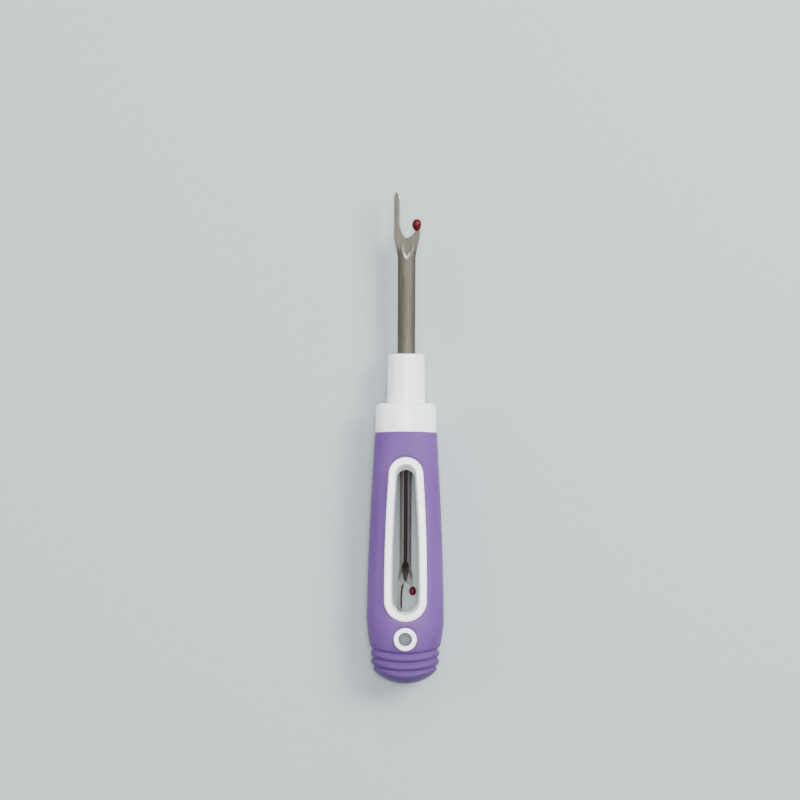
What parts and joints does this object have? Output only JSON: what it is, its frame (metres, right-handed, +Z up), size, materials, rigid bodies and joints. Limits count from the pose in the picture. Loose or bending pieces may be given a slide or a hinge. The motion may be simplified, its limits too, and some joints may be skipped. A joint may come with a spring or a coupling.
{
  "type": "seam ripper",
  "caption": "Hand tool for cutting and picking out stitches: soft-grip handle with a through window, ribbed rubber end, and a reversible forked blade insert.",
  "frame": {"origin": "on the surface that the tool lies on, under the middle of its overall length and width", "axes": "+Y runs along the tool towards the large blade's tip, +X is to the right seen from the front, +Z is up out of the front of the handle"},
  "size_m": [0.02, 0.1278, 0.0141],
  "materials": {
    "white_plastic": "satin moulded",
    "purple_rubber": "matte soft-touch overmould",
    "blade_steel": "plated, drawn lengthwise",
    "red_bead": "glossy dipped"
  },
  "bodies": {
    "handle": {"handle_core": "white_plastic", "grip_overmould": "purple_rubber"},
    "insert": {"insert_hub": "white_plastic", "large_blade": "blade_steel", "small_blade": "blade_steel", "large_bead": "red_bead", "small_bead": "red_bead"}
  },
  "joints": [
    {"name": "insert_pull", "type": "slide", "parent": "handle", "child": "insert", "axis": [0, 1, 0], "range_m": [0, 0.056]}
  ]
}
